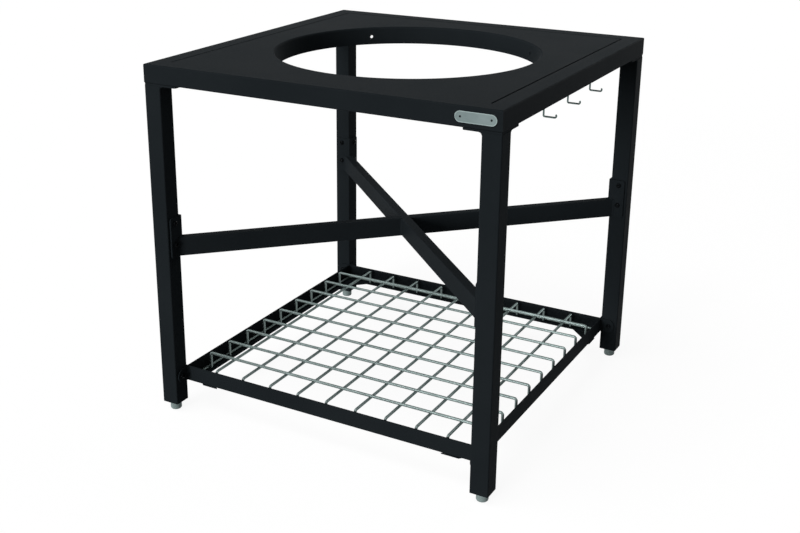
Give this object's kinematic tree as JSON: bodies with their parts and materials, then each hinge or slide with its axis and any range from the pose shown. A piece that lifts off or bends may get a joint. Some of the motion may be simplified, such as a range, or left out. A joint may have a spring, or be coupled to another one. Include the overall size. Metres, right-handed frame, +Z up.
{
  "type": "kamado grill table",
  "caption": "Square black steel table with a round well for a kamado grill, braced tube legs with levelling feet, a low wire grid shelf, utensil hooks and a bare badge plate.",
  "frame": {"origin": "on the floor, under the middle of the table", "axes": "+Z up along the axis of the round well, the front with the badge plate faces -Y, the rail with the hooks is on +X"},
  "size_m": [0.76, 0.7614, 0.753],
  "materials": {
    "powder_coat_black": "satin near-black powder coat over steel",
    "black_screws": "black oxide, semi-gloss",
    "zinc_plated_steel": "bright zinc plating",
    "grid_wire_steel": "plain grey steel wire with bright edges",
    "hook_wire_black": "satin black",
    "foot_grey_plastic": "moulded grey plastic",
    "badge_metal": "grey plate, satin",
    "badge_rivet_dark": "dark rivet heads"
  },
  "bodies": {
    "table": {"badge_plate": "badge_metal", "badge_rivets": "badge_rivet_dark", "brace_bar_back_right": "powder_coat_black", "brace_bar_front_left": "powder_coat_black", "brace_bar_through": "powder_coat_black", "brace_bracket_back_left": "powder_coat_black", "brace_bracket_back_right": "powder_coat_black", "brace_bracket_front_left": "powder_coat_black", "brace_bracket_front_right": "powder_coat_black", "brace_screws": "black_screws", "flange_screws": "black_screws", "leg_back_left": "powder_coat_black", "leg_back_right": "powder_coat_black", "leg_flange_back_left": "powder_coat_black", "leg_flange_back_right": "powder_coat_black", "leg_flange_front_left": "powder_coat_black", "leg_flange_front_right": "powder_coat_black", "leg_foot_inserts": "zinc_plated_steel", "leg_front_left": "powder_coat_black", "leg_front_right": "powder_coat_black", "leg_rivet_nuts": "zinc_plated_steel", "panel_ledges": "powder_coat_black", "rail_back": "powder_coat_black", "rail_front": "powder_coat_black", "rail_left": "powder_coat_black", "rail_right": "powder_coat_black", "rail_rivet_nuts": "zinc_plated_steel", "shelf_bar_back": "powder_coat_black", "shelf_bar_front": "powder_coat_black", "shelf_bar_left": "powder_coat_black", "shelf_bar_right": "powder_coat_black", "shelf_corner_plates": "powder_coat_black", "shelf_lug_screws": "black_screws", "shelf_lugs": "powder_coat_black", "top_panel": "powder_coat_black", "utensil_hooks": "hook_wire_black", "well_collar": "powder_coat_black"},
    "foot_pad_front_left": {"foot_pad_front_left": "foot_grey_plastic"},
    "foot_stud_front_left": {"foot_stud_front_left": "zinc_plated_steel"},
    "foot_pad_front_right": {"foot_pad_front_right": "foot_grey_plastic"},
    "foot_stud_front_right": {"foot_stud_front_right": "zinc_plated_steel"},
    "foot_pad_back_left": {"foot_pad_back_left": "foot_grey_plastic"},
    "foot_stud_back_left": {"foot_stud_back_left": "zinc_plated_steel"},
    "foot_pad_back_right": {"foot_pad_back_right": "foot_grey_plastic"},
    "foot_stud_back_right": {"foot_stud_back_right": "zinc_plated_steel"},
    "shelf_grid": {"grid_upper_wires": "grid_wire_steel", "grid_lower_wires": "grid_wire_steel", "grid_rim_wire": "grid_wire_steel"}
  },
  "joints": [
    {"name": "foot_slide_front_left", "type": "slide", "parent": "table", "child": "foot_pad_front_left", "axis": [0, 0, -1], "range_m": [0, 0.0121]},
    {"name": "foot_spin_front_left", "type": "hinge", "parent": "foot_pad_front_left", "child": "foot_stud_front_left", "pos_m": [-0.361, -0.361, 0.03], "axis": [0, 0, -1], "range_deg": [0, 3456]},
    {"name": "foot_slide_front_right", "type": "slide", "parent": "table", "child": "foot_pad_front_right", "axis": [0, 0, -1], "range_m": [0, 0.0121]},
    {"name": "foot_spin_front_right", "type": "hinge", "parent": "foot_pad_front_right", "child": "foot_stud_front_right", "pos_m": [0.361, -0.361, 0.03], "axis": [0, 0, -1], "range_deg": [0, 3456]},
    {"name": "foot_slide_back_left", "type": "slide", "parent": "table", "child": "foot_pad_back_left", "axis": [0, 0, -1], "range_m": [0, 0.0121]},
    {"name": "foot_spin_back_left", "type": "hinge", "parent": "foot_pad_back_left", "child": "foot_stud_back_left", "pos_m": [-0.361, 0.361, 0.03], "axis": [0, 0, -1], "range_deg": [0, 3456]},
    {"name": "foot_slide_back_right", "type": "slide", "parent": "table", "child": "foot_pad_back_right", "axis": [0, 0, -1], "range_m": [0, 0.0121]},
    {"name": "foot_spin_back_right", "type": "hinge", "parent": "foot_pad_back_right", "child": "foot_stud_back_right", "pos_m": [0.361, 0.361, 0.03], "axis": [0, 0, -1], "range_deg": [0, 3456]},
    {"name": "grid_lift", "type": "slide", "parent": "table", "child": "shelf_grid", "axis": [0, 0, 1], "range_m": [0, 0.2]}
  ],
  "couplings": [
    {"joint": "foot_slide_front_left", "follows": "foot_spin_front_left", "m_per_rad": 0.00019894},
    {"joint": "foot_slide_front_right", "follows": "foot_spin_front_right", "m_per_rad": 0.00019894},
    {"joint": "foot_slide_back_left", "follows": "foot_spin_back_left", "m_per_rad": 0.00019894},
    {"joint": "foot_slide_back_right", "follows": "foot_spin_back_right", "m_per_rad": 0.00019894}
  ]
}
